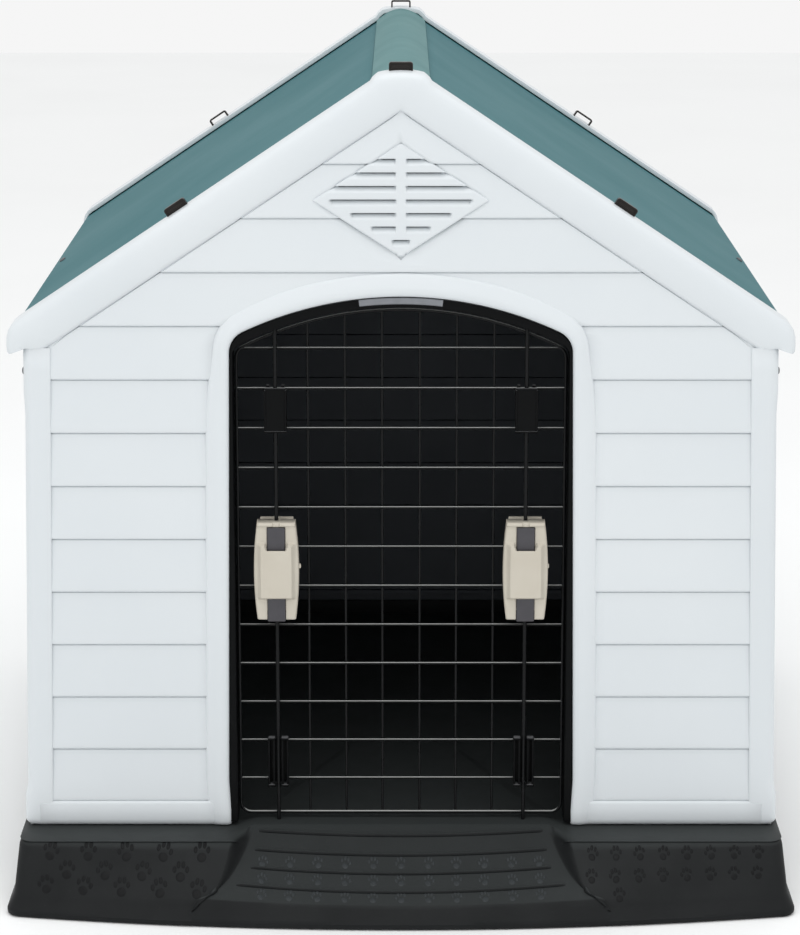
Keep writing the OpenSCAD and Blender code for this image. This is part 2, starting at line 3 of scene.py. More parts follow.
import bpy
import numpy as np
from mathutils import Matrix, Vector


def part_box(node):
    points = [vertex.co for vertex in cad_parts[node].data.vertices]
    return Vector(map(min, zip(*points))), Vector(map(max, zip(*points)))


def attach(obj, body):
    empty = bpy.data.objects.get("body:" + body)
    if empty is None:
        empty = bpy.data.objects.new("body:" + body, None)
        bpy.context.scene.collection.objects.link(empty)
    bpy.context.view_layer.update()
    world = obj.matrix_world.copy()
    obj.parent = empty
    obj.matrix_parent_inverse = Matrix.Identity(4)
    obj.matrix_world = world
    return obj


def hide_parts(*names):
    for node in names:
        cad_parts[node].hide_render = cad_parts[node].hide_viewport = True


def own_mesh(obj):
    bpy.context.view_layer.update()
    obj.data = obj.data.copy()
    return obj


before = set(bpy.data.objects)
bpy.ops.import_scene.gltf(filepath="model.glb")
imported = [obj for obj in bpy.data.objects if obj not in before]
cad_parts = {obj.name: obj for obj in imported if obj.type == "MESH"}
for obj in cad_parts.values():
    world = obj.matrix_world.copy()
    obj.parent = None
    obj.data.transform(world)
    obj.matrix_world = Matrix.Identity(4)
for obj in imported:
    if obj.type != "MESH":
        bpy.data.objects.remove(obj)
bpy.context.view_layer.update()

MM = 0.001
HOUSE, DOOR = "house", "door"

# ---------------------------------------------------------------- sizes, in millimetres

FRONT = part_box("front_wall")[0].y / MM      # outer face of the front panel
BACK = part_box("back_wall")[1].y / MM        # outer face of the back panel
SILL = 83.0                                 # height of the doorway's sill
FOOT = 77.5                                 # foot of the wall panels, on the tray's ledge
BASE_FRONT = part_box("base")[0].y / MM
BASE_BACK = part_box("base")[1].y / MM
BASE_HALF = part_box("base")[1].x / MM

SLOPE = 0.6708                              # rise of the roof for each millimetre across
RAKE = 1002.7                               # height where the two rake lines would cross
RAKE_INNER = 948.0                          # the same for the gable band's lower edge
ROOF_TOP = 993.7                            # the same for the teal panels
EAVE = 461.0                                # half width of the roof
FLANGE = 45.0                               # how far the panels' edges turn back
SKIN = 3.5                                  # thickness of the moulded shells

ARCH_R, ARCH_Z = 430.0, 300.5               # radius and centre height of the doorway's arch
CORNER_Z = 672.0                            # height of the doorway's upper corners

ROD_X = 148.0                               # the latch rods' distance from the middle
ROD_Y = 14.3                                # the rods' distance behind the front face
ROD_R = 2.4
LATCH_Z = 397.5                             # middle height of the latches
WIRE_FOOT, WIRE_STEP, WIRES = 132.6, 48.47, 12


# ---------------------------------------------------------------- surfaces


def outward(grid, out=None):
    """The grid of points, turned round if its faces don't look along out, or away from its middle."""
    across = grid[1:, :-1] - grid[:-1, :-1]
    along = grid[:-1, 1:] - grid[:-1, :-1]
    look = grid[:-1, :-1] - grid.reshape(-1, 3).mean(0) if out is None else np.array(out, float)
    return grid if (np.cross(across, along) * look).sum() > 0 else grid[::-1]


def stack(x, y, z):
    """Three arrays of coordinates, spread to one shape, as a grid of points."""
    return np.stack(np.broadcast_arrays(x, y, z), -1).astype(float)


def smooth(t):
    """0 below t = 0, 1 above t = 1, and three t squared less two t cubed between."""
    t = np.clip(t, 0, 1)
    return t * t * (3 - 2 * t)


def rounding(d, r):
    """How far a rounded edge of radius r has fallen away at distance d from the edge."""
    d = np.clip(d, 0, r)
    return r - np.sqrt(r * r - (r - d) ** 2)


def strip(outer, inner, profile):
    """A band between two lines in the X-Z plane: each profile point is a share of the way in, and a depth."""
    share, depth = np.asarray(profile, float).T
    line = outer[:, None] * (1 - share[:, None]) + inner[:, None] * share[:, None]
    return stack(line[..., 0], depth, line[..., 1])


def capped(grid):
    """A grid closed at both ends: the middle of its first and of its last row, each drawn out as a further row."""
    ends = [np.broadcast_to(grid[e].mean(0), (1, *grid.shape[1:])) for e in (0, -1)]
    return np.concatenate([ends[0], grid, ends[1]])


def tube(path, radius, sides=12, side=(0, 1, 0), closed=False):
    """A round wire: a circle carried square to its path, and drawn in to a point at each end unless it is a ring."""
    path = np.asarray(path, float)
    if closed:
        path = np.concatenate([path, path[:1]])
        tangent = np.roll(path[:-1], -1, 0) - np.roll(path[:-1], 1, 0)
        tangent = np.concatenate([tangent, tangent[:1]])
        radius = np.full(len(path), float(radius))
    else:
        tangent = np.gradient(path, axis=0)
        radius = np.concatenate([[0], np.full(len(path), 1.0) * radius, [0]])
        path = np.concatenate([path[:1], path, path[-1:]])
        tangent = np.concatenate([tangent[:1], tangent, tangent[-1:]])
    tangent /= np.linalg.norm(tangent, axis=1, keepdims=True)
    one = np.cross(tangent, np.array(side, float))
    one /= np.linalg.norm(one, axis=1, keepdims=True)
    two = np.cross(tangent, one)
    a = np.linspace(0, 2 * math.pi, sides + 1)[:, None]
    ring = np.cos(a) * one[:, None] + np.sin(a) * two[:, None]
    ring[:, -1] = ring[:, 0]
    grid = path[:, None] + radius[:, None, None] * ring
    return outward(grid)


def soft_box(low, high, r, n=4):
    """A box with rounded edges: a sphere's point in each direction, moved out to the nearest inner corner."""
    low, high = np.array(low, float), np.array(high, float)
    centre, half = (low + high) / 2, (high - low) / 2 - r
    turn = np.radians(np.concatenate([np.linspace(90 * q, 90 * q + 90, n) for q in range(4)]))
    quarter = np.repeat(np.arange(4), n)
    turn, quarter = np.append(turn, turn[0]), np.append(quarter, 0)
    tilt = np.radians(np.concatenate([np.linspace(-90, 0, n), np.linspace(0, 90, n)]))[:, None]
    sx, sy = np.where((quarter == 0) | (quarter == 3), 1, -1), np.where(quarter < 2, 1, -1)
    sz = np.repeat([-1, 1], n)[:, None]
    grid = stack(sx * half[0] + r * np.cos(tilt) * np.cos(turn), sy * half[1] + r * np.cos(tilt) * np.sin(turn),
                 sz * half[2] + r * np.sin(tilt))
    poles = [np.broadcast_to([0, 0, s * (half[2] + r)], (1, grid.shape[1], 3)) for s in (-1, 1)]
    return outward(np.concatenate([poles[0], grid, poles[1]]) + centre)


def faces_of(grid, keep):
    """The four corners of every face of a grid, as row numbers, leaving out those that keep says are open."""
    n, m = grid.shape[:2]
    a = (np.arange(n - 1)[:, None] * m + np.arange(m - 1)).reshape(-1)
    quads = np.stack([a, a + m, a + m + 1, a + 1], 1)
    return quads if keep is None else quads[keep.reshape(-1)]


def mesh_of(name, grids):
    """One mesh of all the grids: points that coincide become one, and a face that has lost a side is a triangle."""
    grids = [g if isinstance(g, tuple) else (g, None) for g in grids]
    starts = np.cumsum([0] + [g.shape[0] * g.shape[1] for g, _ in grids])
    quads = np.concatenate([faces_of(g, keep) + s for (g, keep), s in zip(grids, starts)])
    points = np.concatenate([g.reshape(-1, 3) for g, _ in grids])
    _, first, place = np.unique(np.round(points / 0.004).astype(np.int64), axis=0, return_index=True,
                                return_inverse=True)
    points, quads = points[first] * MM, place.reshape(-1)[quads]
    short = (quads == np.roll(quads, -1, 1)).any(1)
    full, bad = quads[~short], quads[short]
    tri = np.where((bad[:, 0] == bad[:, 1])[:, None], bad[:, [0, 2, 3]],
                   np.where((bad[:, 1] == bad[:, 2])[:, None], bad[:, [0, 1, 3]], bad[:, :3]))
    tri = tri[(tri != np.roll(tri, -1, 1)).all(1)]
    mesh = bpy.data.meshes.new(name)
    mesh.from_pydata(points.tolist(), [], full.tolist() + tri.tolist())
    mesh.validate()
    mesh.update()
    return mesh


def piece(name, grids, materials, body, stands_for=None, skin=0, sharp=32):
    """A finished piece from its grids, in millimetres. skin gives it a wall of that thickness behind its faces, and
    a second material then covers the wall's inner side."""
    mesh = mesh_of(name, grids)
    mesh.polygons.foreach_set("use_smooth", np.ones(len(mesh.polygons), bool))
    mesh.set_sharp_from_angle(angle=math.radians(sharp))
    obj = bpy.data.objects.new(name, mesh)
    bpy.context.scene.collection.objects.link(obj)
    for m in materials if isinstance(materials, (list, tuple)) else [materials]:
        mesh.materials.append(m)
    if skin:
        wall = obj.modifiers.new("wall", "SOLIDIFY")
        wall.thickness, wall.offset, wall.use_even_offset = skin * MM, -1, False
        wall.material_offset = len(mesh.materials) - 1
    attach(obj, body)
    if stands_for:
        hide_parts(stands_for)
    return obj


# ---------------------------------------------------------------- materials

DUST_MM = 3.0                               # size of the dust's finest clumps


def linear(colour):
    """An sRGB hex colour as linear red, green, blue and alpha."""
    c = np.array([int(colour[i:i + 2], 16) for i in (0, 2, 4)]) / 255
    c = np.where(c <= 0.04045, c / 12.92, ((c + 0.055) / 1.055) ** 2.4)
    return (*c.tolist(), 1.0)


def add(tree, kind, inputs=None, **settings):
    """Adds a node with its settings, and fills its inputs: a socket is linked and anything else is a value."""
    node = tree.nodes.new(kind)
    for key, value in settings.items():
        setattr(node, key, value)
    for key, value in (inputs or {}).items():
        if isinstance(value, bpy.types.NodeSocket):
            tree.links.new(value, node.inputs[key])
        else:
            node.inputs[key].default_value = value
    return node


def finish_of(name, colour, shade, rough, grain_mm, grain, mottle_mm=120, mottle=0.5, coat=0.0, metallic=0.0,
              specular=0.5, speck=0.0, speck_colour="b9b7b0", painted_top_highlight=0.0, painted_top_highlight_colour="8f8d88",
              painted_top_highlight_from=0.55):
    """A moulded, coated or plated finish. The colour drifts to shade in patches of mottle_mm; the surface has a grain
    of grain_mm, raised by grain millimetres; speck is the share of it that carries fine dust. The last three
    arguments paint a highlight on the upward faces: how much of their colour gives way to a paler tone, that tone,
    and the upward share of the normal where it begins. This painted highlight stands in for the overhead light."""
    material = bpy.data.materials.new(name)
    material.use_nodes = True
    tree = material.node_tree
    tree.nodes.clear()
    place = add(tree, "ShaderNodeTexCoord").outputs["Object"]
    patch = add(tree, "ShaderNodeTexNoise", {"Vector": place, "Scale": 1000 / mottle_mm, "Detail": 4.0})
    drift = add(tree, "ShaderNodeMapRange", {"Value": patch.outputs["Fac"], "From Min": 0.38, "From Max": 0.68,
                                             "To Min": 0.0, "To Max": mottle})
    tone = add(tree, "ShaderNodeMix", {"Factor": drift.outputs["Result"], 6: linear(colour), 7: linear(shade)},
               data_type="RGBA").outputs[2]
    fine = add(tree, "ShaderNodeTexNoise", {"Vector": place, "Scale": 1000 / grain_mm, "Detail": 2.0})
    if speck:
        dust = add(tree, "ShaderNodeTexNoise", {"Vector": place, "Scale": 1000 / DUST_MM, "Detail": 3.0,
                                                "Roughness": 0.7})
        where = add(tree, "ShaderNodeMapRange", {"Value": dust.outputs["Fac"], "From Min": 0.62, "From Max": 0.72,
                                                 "To Min": 0.0, "To Max": speck})
        tone = add(tree, "ShaderNodeMix", {"Factor": where.outputs["Result"], 6: tone, 7: linear(speck_colour)},
                   data_type="RGBA").outputs[2]
    # painted highlight: upward faces give way to a paler tone, standing in for the overhead light on them
    if painted_top_highlight:
        face = add(tree, "ShaderNodeSeparateXYZ", {"Vector": add(tree, "ShaderNodeNewGeometry").outputs["Normal"]})
        up = add(tree, "ShaderNodeMapRange", {"Value": face.outputs["Z"], "From Min": painted_top_highlight_from,
                                              "From Max": painted_top_highlight_from + 0.25, "To Min": 0.0, "To Max": painted_top_highlight})
        tone = add(tree, "ShaderNodeMix", {"Factor": up.outputs["Result"], 6: tone, 7: linear(painted_top_highlight_colour)},
                   data_type="RGBA").outputs[2]
    gloss = add(tree, "ShaderNodeMapRange", {"Value": patch.outputs["Fac"], "From Min": 0.3, "From Max": 0.7,
                                             "To Min": rough - 0.05, "To Max": rough + 0.06})
    bump = add(tree, "ShaderNodeBump", {"Height": fine.outputs["Fac"], "Strength": 0.6, "Distance": grain * MM})
    shader = add(tree, "ShaderNodeBsdfPrincipled", {
        "Base Color": tone, "Roughness": gloss.outputs["Result"], "Normal": bump.outputs["Normal"],
        "Metallic": metallic, "IOR": 1.5, "Specular IOR Level": specular, "Coat Weight": coat,
        "Coat Roughness": 0.25})
    add(tree, "ShaderNodeOutputMaterial", {"Surface": shader.outputs["BSDF"]})
    return material


# Injection-moulded polypropylene, cool white: even and slightly satin, with a faint spark-eroded grain.
white_plastic = finish_of("white_moulded_polypropylene", "d5dadd", "ced4d8", 0.42, 1.4, 0.04, mottle_mm=260,
                          specular=0.35)
# The same panels' inner side, in charcoal with hardly any shine: painted shade that keeps the cabin dark behind the
# wire door.
painted_shade_lining = finish_of("painted_shade_inner_skin", "5a5e63", "4e5257", 0.6, 1.6, 0.06, mottle_mm=180, specular=0.15)
# Polypropylene tinted grey-teal, satin; broad patches drift a little, as a large thin moulding does.
teal_plastic = finish_of("teal_moulded_polypropylene", "3e6e74", "39666c", 0.6, 1.8, 0.05, mottle_mm=220, mottle=0.35,
                         specular=0.12, speck=0.06, speck_colour="7f9a9c")
# The ridge cap: the roof's teal painted a step lighter and greyer, a painted highlight for the extra light on its
# upward crown.
painted_lighter_cap_plastic = finish_of("painted_lighter_teal_ridge_cap", "5c8384", "567b7d", 0.6, 1.8, 0.05, mottle_mm=90, specular=0.12,
                        speck=0.08, speck_colour="93a9a9")
# Black polypropylene with a coarse leather grain and a little dust: matte, with a painted highlight, a paler grey, on
# the faces that lie flat.
base_plastic = finish_of("black_grained_polypropylene", "181a1b", "131516", 0.55, 2.2, 0.14, mottle_mm=60,
                         specular=0.16, speck=0.2, speck_colour="343636", painted_top_highlight=0.6, painted_top_highlight_colour="3f4343",
                         painted_top_highlight_from=0.72)
# The paw marks on the skirt were left polished in the mould, so they are darker than the grain round them.
polished_base = finish_of("black_polished_polypropylene", "151617", "121314", 0.4, 3.0, 0.01, mottle_mm=30,
                          specular=0.1)
# The paw marks on the step are rubbed a little lighter by feet.
worn_base = finish_of("black_rubbed_polypropylene", "34383a", "2e3133", 0.5, 2.2, 0.08, mottle_mm=20, specular=0.2)
# Black nylon of the door's sleeve and guides: finer grain, a soft shine on its edges, and a pale painted highlight on
# top.
black_nylon = finish_of("black_moulded_nylon", "0a0b0c", "08090a", 0.42, 1.0, 0.03, mottle_mm=40, specular=0.08,
                        painted_top_highlight=0.7, painted_top_highlight_colour="6f7072", painted_top_highlight_from=0.7)
# Black powder coat on steel wire: a thin skin with orange peel, and a painted highlight, a pale line along the upper
# side, for the overhead light.
powder_coat = finish_of("black_powder_coat_on_wire", "111213", "0d0e0f", 0.3, 1.6, 0.02, mottle_mm=30, specular=0.15,
                        painted_top_highlight=0.95, painted_top_highlight_colour="a8aaa8", painted_top_highlight_from=0.5)
# Cream ABS of the latch housings: warm, satin, with a fine grain.
cream_abs = finish_of("cream_moulded_abs", "c3bdb0", "bcb5a7", 0.42, 0.9, 0.02, mottle_mm=30, specular=0.35,
                      speck=0.04, speck_colour="b5ac9d")
# Dark grey ABS of the finger tabs.
grey_abs = finish_of("dark_grey_moulded_abs", "47464a", "403f43", 0.46, 0.8, 0.02, mottle_mm=12, specular=0.3)
# Mid grey ABS of the strip let into the top of the sleeve.
strip_abs = finish_of("mid_grey_moulded_abs", "7c7f84", "6c6f74", 0.4, 0.8, 0.02, mottle_mm=14, specular=0.4)
# Brown-black acetal of the roof clips: harder and a little shinier.
clip_acetal = finish_of("brown_black_moulded_acetal", "211c19", "1a1614", 0.38, 0.8, 0.02, mottle_mm=10, specular=0.3)
# Bright drawn spring steel.
spring_steel = finish_of("bright_spring_steel", "b9bbbd", "a5a7a9", 0.28, 0.6, 0.01, mottle_mm=8, metallic=1.0)
# Zinc-plated screws, dulled by weather.
zinc_plate = finish_of("weathered_zinc_plate", "6d6f72", "55585b", 0.42, 0.7, 0.02, mottle_mm=6, metallic=1.0)
# Smooth painted board: pale and even, so that only the house shows.
floor_paint = finish_of("pale_matt_floor_paint", "fafbfb", "f6f7f7", 0.8, 3.0, 0.01, mottle_mm=900, specular=0.1)


# ---------------------------------------------------------------- gable panels


def board_line(i):
    """Height of a board's lower edge: boards of about 65 mm, a little taller towards the floor."""
    return 109.5 + 66.2 * i - 0.12 * i * i


def siding_rows():
    """Heights and depths up the siding: each board leans out to a rounded lower edge over a narrow groove."""
    i = np.arange(14)[:, None]
    low, high = board_line(i), board_line(i + 1)
    step = np.array([-1.7, -1.5, -0.3, 0.0, 0.5, 1.6, 3.5])
    lean = np.array([0.0, 0.15, 0.35, 0.6, 0.85])
    z = np.concatenate([low + step, low + 6 + (high - low - 9) * lean], 1)
    y = np.concatenate([np.broadcast_to([5.6, 7.0, 7.0, 4.2, 3.4, 3.05, 3.0], (14, 7)),
                        np.broadcast_to(3.05 + 2.5 * lean, (14, 5))], 1)
    return z.reshape(-1), y.reshape(-1)


def side_edge(z):
    """Half width of a gable panel at its outer edge: a straight line that leans in, with smooth steps out at the foot,
    below the first board, and under the eave."""
    return 453.5 - 0.0193 * z + 2.6 * smooth((130 - z) / 12) + 1.9 * smooth((z - 604) / 14)


def field_edge(z):
    """Half width of the siding, inside the corner pillars."""
    return 422.45 - 0.01867 * z


def door_line(grow=0.0, foot=207.9, head=201.2, arch=ARCH_R, corner=28.0, start=SILL, flare=0.0):
    """Right half of the doorway's outline, from the sill to the top: a straight side that leans in from foot to head,
    a corner arc and a flat arch that meet where their circles touch, all moved out by grow."""
    x_corner = head - corner
    z_corner = ARCH_Z + math.sqrt((arch - corner) ** 2 - x_corner ** 2)
    turn = math.atan2(z_corner - ARCH_Z, x_corner)
    z = np.concatenate([start + np.array([0, 0.4, 1.2, 2.5, 4.5, 8]), np.linspace(start + 20, z_corner, 16)[:-1]])
    x = foot + (head - foot) * (z - SILL) / (z_corner - SILL) + grow - flare * smooth((130 - z) / 12)
    a = np.linspace(0, turn, 12)[:-1]
    b = np.linspace(turn, math.pi / 2, 26)
    x = np.concatenate([x, x_corner + (corner + grow) * np.cos(a), (arch + grow) * np.cos(b)])
    z = np.concatenate([z, z_corner + (corner + grow) * np.sin(a), ARCH_Z + (arch + grow) * np.sin(b)])
    x[-1] = 0
    return np.stack([x, z], 1)


def whole(line):
    """A right half line and its mirror image, as one line from left to right."""
    return np.concatenate([line * [-1, 1], line[-2::-1]])


VENT_Z, VENT_W, VENT_H = 844.0, 103.6, 67.3     # the diamond's middle height, half width and half height
SLOTS = 796.3 + 15.83 * np.arange(7)
SLOT_HALF = 92 * (1 - np.abs(SLOTS - 850) / 61)
MULLION = 5.6                                   # half width of the bar between the slots


def vent_edge(z):
    """Half width of the vent's diamond at a height: it falls in proportion to the distance from the middle."""
    return VENT_W * np.clip(1 - np.abs(z - VENT_Z) / VENT_H, 0, 1)


def vent_plate():
    """The louvred diamond, as depths and the faces to keep: below each slot the plate slopes in and up to a narrow
    opening, which is a row of left-out faces. The slope fades out by a smooth step at the slot's ends and at the
    mullion that divides all the slots but the lowest. Above the middle the slots run out to the diamond's edges."""
    step = np.array([-9, -7.8, -6.8, -5.2, -3.4, -2.0, -1.3, -0.15, 0.0, 0.4, 1.2, 3.6])
    sink = np.array([0, 0, 0.5, 1.9, 3.9, 5.6, 6.6, 7.6, 1.2, 0.3, 0, 0])
    lines = SLOTS + 1.4
    ends = VENT_Z + VENT_H * np.array([-1.06, -1, -0.95, -0.9, 0.93, 0.97, 1])
    level, count = np.zeros(len(ends)), len(step)
    z = np.concatenate([(lines[:, None] + step).reshape(-1), ends])
    deep = np.concatenate([np.tile(sink, len(SLOTS)), level])
    half = np.concatenate([np.repeat(np.where(lines > VENT_Z + 4, 2 * VENT_W, SLOT_HALF), count), level])
    split = np.concatenate([np.repeat(np.arange(len(SLOTS)) > 0, count), level > 0])
    order = np.argsort(z)
    z, deep, half, split = z[order, None], deep[order, None], half[order, None], split[order, None]
    x = np.linspace(-1, 1, 121) * np.maximum(vent_edge(z), 8 * (z < VENT_Z))
    cut = smooth((half - np.abs(x)) / 2.2) * np.where(split, smooth((np.abs(x) - MULLION) / 1.6), 1)
    border = rounding((vent_edge(z) - np.abs(x)) * 0.54, 2.4) * 1.8
    grid = stack(x, 1.3 + border + deep * cut, z)
    row = (z[1:, 0] + z[:-1, 0])[:, None] / 2 - lines
    slot = ((row > -1.3) & (row < -0.15)).any(1)[:, None]
    middle = np.abs(x[1:, 1:] + x[:-1, :-1]) / 2
    inside = np.minimum(half[1:], vent_edge(z[1:]) - 3)
    return grid, ~(slot & (middle < inside - 3) & ((middle > MULLION + 1.9) | ~split[1:]))


def gable_panel(has_door):
    """Front surface of a gable panel, as depths behind its face. Siding, pillars and skirting are sections carried up
    or across between the panel's edge lines; the gable band and the doorway's moulding are sections carried between
    two lines or at steps outside one. Each right half is mirrored."""
    z, y = siding_rows()
    apex = (RAKE_INNER + 10 - z) / SLOPE
    keep = apex > 0
    z, y, apex = z[keep], y[keep], apex[keep]
    outer = np.minimum(field_edge(z) + 7, apex)
    inner = np.zeros_like(z)
    if has_door:
        line = door_line(grow=15)
        inner = np.interp(z, line[:, 1], line[:, 0], left=line[0, 0], right=0)
    slotted = (z > VENT_Z - VENT_H) & (z < VENT_Z + VENT_H)
    inner = np.where(slotted, np.maximum(vent_edge(z) - 2, 0), inner)
    inner = np.minimum(inner, outer)
    edge = np.maximum(np.minimum(field_edge(z), (RAKE_INNER - z) / SLOPE), inner)
    along = inner[:, None] + (np.maximum(edge - 2.4, inner) - inner)[:, None] * np.linspace(0, 1, 9)
    x = np.concatenate([along, np.maximum(edge - 1.4, inner)[:, None], outer[:, None]], 1)
    groove = 1.7 * ((RAKE_INNER - z) / SLOPE < field_edge(z))
    grids = [stack(x, y[:, None] + groove[:, None] * np.array([0] * 9 + [1, 1]), z[:, None])]

    # corner pillar, with the side flange that turns back round the corner
    rows = FOOT + np.concatenate([[0, 0.5, 1.6, 3.4, 6.0, 9.0], np.linspace(14, 60, 8), np.linspace(80, 592, 20)])
    ease = rounding(rows - FOOT, 9.0)
    across = np.array([[0, FLANGE], [0, 12], [0, 10.4], [0.7, 6.9], [2.6, 4.1], [5.4, 2.2], [9, 1.55], [14, 1.4],
                       [22, 1.4], [27.5, 1.5], [29.4, 1.7], [30.5, 2.1], [31, 2.6], [31, 9.5]])
    t = across[:, 0] / 31
    x = (side_edge(rows) - ease)[:, None] * (1 - t) + field_edge(rows)[:, None] * t
    deep = across[:, 1] + ease[:, None] * (across[:, 1] < 12)
    grids.append(stack(x, deep, rows[:, None]))

    # skirting under the siding
    rows = np.array([0, 0.5, 1.6, 3.4, 6.0, 9.0, 16, 28.5, 30.5, 31.6, 32.0, 32.0]) + FOOT
    deep = np.array([1.2] * 8 + [1.9, 3.1, 5, 9.5]) + rounding(rows - FOOT, 9.0)
    start = door_line(grow=8)[0, 0] if has_door else 0
    grids.append(stack(np.linspace(start, 436, 8), deep[:, None], rows[:, None]))

    # gable band: ear, rake and crown outside, the siding's edge inside
    run = np.linspace(446, 36, 28)
    crown = np.array([33.7, 30.5, 26.7, 21, 14, 7, 0])
    outer = np.concatenate([[[459.4, 662.3], [461.2, 664.4], [461.8, 672], [461.4, 682], [459.4, 690], [456, 695.6],
                             [451.5, 699.6]],
                            np.stack([run, RAKE - SLOPE * run], 1),
                            np.stack([crown, 992 - 3.4 * (crown / 26.7) ** 2
                                      - 4.2 * np.clip((crown - 26.7) / 7, 0, 1) ** 1.2], 1)])
    shift = 46 * math.sin(math.atan(SLOPE))
    inner_x = np.concatenate([run - shift, crown * (36 - shift) / 36])
    inner = np.concatenate([[[440.5, 668.6], [440, 668.8], [438, 668.6], [436, 668], [433, 667], [429, 666],
                             [425, 667]],
                            np.stack([inner_x, RAKE_INNER - SLOPE * inner_x], 1)])
    profile = np.array([[0.13, FLANGE - 0.5], [0.11, FLANGE], [0.01, FLANGE], [0, FLANGE - 1], [0, 11], [0, 8.5],
                        [0.01, 5.6], [0.04, 3.1], [0.085, 1.3], [0.14, 0.2], [0.25, -0.7], [0.4, -1.3], [0.55, -1.2],
                        [0.7, -0.6], [0.82, 0.2], [0.91, 1.0], [0.96, 2.0], [0.99, 3.4], [1, 5], [1, 9.5]])
    band = strip(outer, inner, profile)
    under = band[:1].copy()
    under[..., 1] = FLANGE
    grids.append(np.concatenate([under, band]))

    if has_door:
        # rolled moulding round the doorway, which runs out into the siding and is narrower at the arch's corners
        reach = np.array([[0, 13], [0, 4], [0.5, 1.9], [1.8, 0.3], [4, -0.8], [7, -1.4], [10, -1.5], [13, -1.1],
                          [17, 0], [21, 1.3], [24.5, 2.4], [26.6, 3.3], [28, 5], [28.4, 9.5]])
        lines = np.stack([door_line(grow=g, start=FOOT, flare=2.6) for g in reach[:, 0]], 1)
        near = 0.3 * np.exp(-((lines[..., 1] - CORNER_Z) / 48) ** 2)[..., None]
        lines = lines * (1 - near) + lines[:, :1] * near
        ease = rounding(lines[..., 1] - FOOT, 9.0) * (reach[:, 1] < 10)
        grids.append(stack(lines[..., 0], reach[:, 1] + ease, lines[..., 1]))
    halves = [outward(g, (0, -1, 0)) for g in grids]
    return halves + [outward(g * [-1, 1, 1], (0, -1, 0)) for g in halves]


def at_panel(grid, face, turn, keep=None):
    """A grid moved from depths behind a face to its place in the house, looking outwards, with its open faces."""
    placed = grid * [1, turn, 1] + [0, face, 0]
    looking = outward(placed, (0, -turn, 0))
    return looking if keep is None else (looking, keep if looking is placed else keep[::-1])


for name, face, turn, has_door in (("front_panel", FRONT, 1, True), ("back_panel", BACK, -1, False)):
    shell = [at_panel(g, face, turn) for g in gable_panel(has_door)]
    piece(name, shell, [white_plastic, painted_shade_lining], HOUSE, stands_for="front_wall" if has_door else "back_wall",
          skin=SKIN)
    plate, keep = vent_plate()
    piece(name + "_vent", [at_panel(plate, face, turn, keep)], white_plastic, HOUSE, skin=1.6)

# ---------------------------------------------------------------- side panels

z, deep = siding_rows()
top_z = 690.0
keep = z < top_z
z, deep = np.append(z[keep], top_z), np.append(deep[keep], 5.0)
z, deep = np.insert(z, 0, [FOOT, 107.0]), np.insert(deep, 0, [3.0, 3.0])
for side, node in ((-1, "left_wall"), (1, "right_wall")):
    x = side * (side_edge(z) - 5.5 - (deep - 3.0))
    y = np.linspace(FRONT + 8.5, BACK - 8.5, 20)
    grid = outward(stack(x[:, None], y, z[:, None]), (side, 0, 0))
    piece(node.replace("wall", "panel"), [grid], [white_plastic, painted_shade_lining], HOUSE, stands_for=node,
          skin=SKIN)

# ---------------------------------------------------------------- roof

eave_turn = np.radians(np.linspace(33.85, 90, 8))
for side, node in ((-1, "roof_left"), (1, "roof_right")):
    run = np.linspace(31, EAVE - 6.5, 30)
    slope_z = ROOF_TOP - SLOPE * run
    cx, cz = run[-1] - 5.5 * math.sin(eave_turn[0]), slope_z[-1] - 5.5 * math.cos(eave_turn[0])
    x = np.concatenate([run[:-1], cx + 5.5 * np.sin(eave_turn), [cx + 5.5] * 3])
    z = np.concatenate([slope_z[:-1], cz + 5.5 * np.cos(eave_turn), cz - np.array([5.0, 10.0, 15.0])])
    y = np.linspace(FRONT + 8.5, BACK - 8.5, 40)
    grid = outward(stack(side * x[:, None], y, z[:, None]), (side, 0, 1))
    piece(node + "_panel", [grid], [teal_plastic, painted_shade_lining], HOUSE, stands_for=node, skin=3)

edge = np.array([34.6, 34.6, 34.2, 33, 30, 25, 19, 12.5, 6, 0])
rise = np.array([970.6, 972.6, 973.6, 974.6, 977, 981, 984.6, 987.6, 989.4, 990])
x, z = np.concatenate([-edge, edge[-2::-1]]), np.concatenate([rise, rise[-2::-1]])
cap = outward(stack(x[:, None], np.linspace(FRONT + 8.5, BACK - 8.5, 30), z[:, None]), (0, 0, 1))
piece("ridge_cap_moulding", [cap], painted_lighter_cap_plastic, HOUSE, stands_for="ridge_cap", skin=3)


